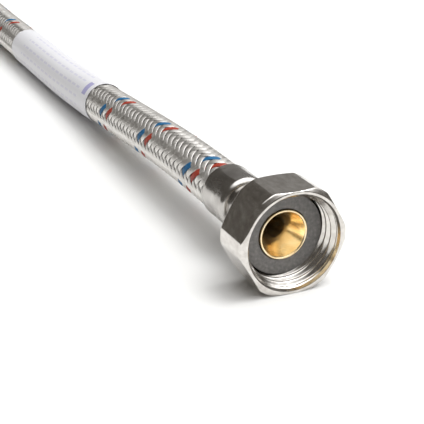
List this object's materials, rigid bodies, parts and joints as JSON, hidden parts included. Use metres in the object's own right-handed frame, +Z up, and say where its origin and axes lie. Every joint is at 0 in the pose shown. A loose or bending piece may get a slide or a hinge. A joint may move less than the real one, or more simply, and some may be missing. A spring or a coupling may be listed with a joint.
{
  "type": "braided supply line",
  "caption": "Flexible stainless-braided water hose with a swivel hexagon union nut, flat gasket, brass nipple and crimp ferrule at each end.",
  "frame": {"origin": "on the resting surface, under the middle of the near end fitting", "axes": "+Z up; +Y along the hose from the near end fitting to the far one; +X to the right when looking along +Y"},
  "size_m": [0.0248, 0.4, 0.023],
  "materials": {
    "nickel": "bright nickel plate on brass, lightly handled",
    "gasket_rubber": "matt dark grey moulded rubber",
    "brass": "freshly turned brass",
    "ferrule_steel": "drawn and crimped stainless steel, satin to bright",
    "tube_rubber": "matt black rubber",
    "braid_wire": "bright stainless wire",
    "blue_yarn": "blue nylon tracer yarn",
    "red_yarn": "red nylon tracer yarn",
    "label_film": "white printed film, semi gloss"
  },
  "bodies": {
    "root": {"near_gasket": "gasket_rubber", "near_nipple": "brass", "near_ferrule": "ferrule_steel", "inner_tube": "tube_rubber", "wire_braid": "braid_wire", "blue_tracer": "blue_yarn", "red_tracer": "red_yarn", "label_wrap": "label_film", "far_gasket": "gasket_rubber", "far_nipple": "brass", "far_ferrule": "ferrule_steel"},
    "near_nut": {"near_union_nut": "nickel"},
    "far_nut": {"far_union_nut": "nickel"}
  },
  "joints": [
    {"name": "near_nut_spin", "type": "hinge", "parent": "root", "child": "near_nut", "pos_m": [0, -0.011, 0.0115], "axis": [0, -1, 0], "continuous": true},
    {"name": "far_nut_spin", "type": "hinge", "parent": "root", "child": "far_nut", "pos_m": [0, 0.378, 0.0115], "axis": [0, 1, 0], "continuous": true}
  ]
}
